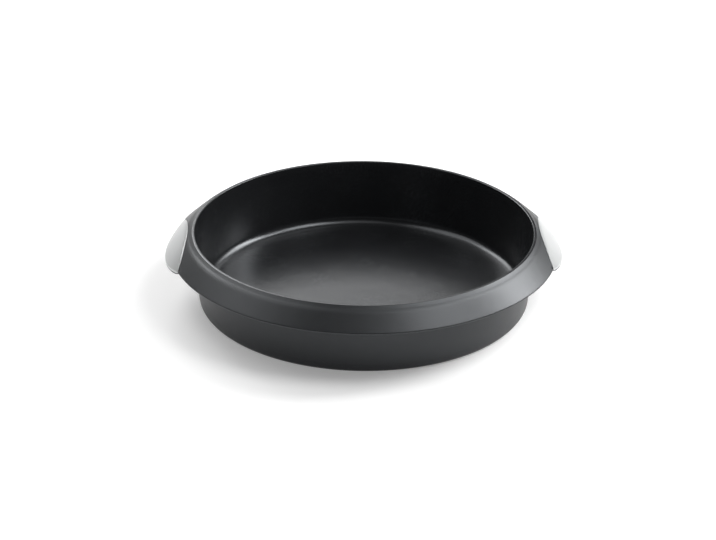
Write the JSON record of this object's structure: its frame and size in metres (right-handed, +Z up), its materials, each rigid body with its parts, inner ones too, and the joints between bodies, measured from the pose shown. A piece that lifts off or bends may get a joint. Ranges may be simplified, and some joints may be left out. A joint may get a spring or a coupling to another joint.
{
  "type": "round baking mould",
  "caption": "Round flexible baking mould with a drafted wall, a sloping skirt round the rim, a stiffening hoop and pale side grips.",
  "frame": {"origin": "middle of the flat underside, on the surface that the mould stands on", "axes": "+X from the left grip to the right grip, +Z up through the rim, +Y away from the viewer of the picture"},
  "size_m": [0.3054, 0.2964, 0.0566],
  "materials": {
    "silicone": "satin",
    "hoop_steel": "satin",
    "grip": "satin"
  },
  "bodies": {
    "root": {"mould_body": "silicone", "rim_hoop": "hoop_steel", "left_grip": "grip", "right_grip": "grip"}
  },
  "joints": []
}
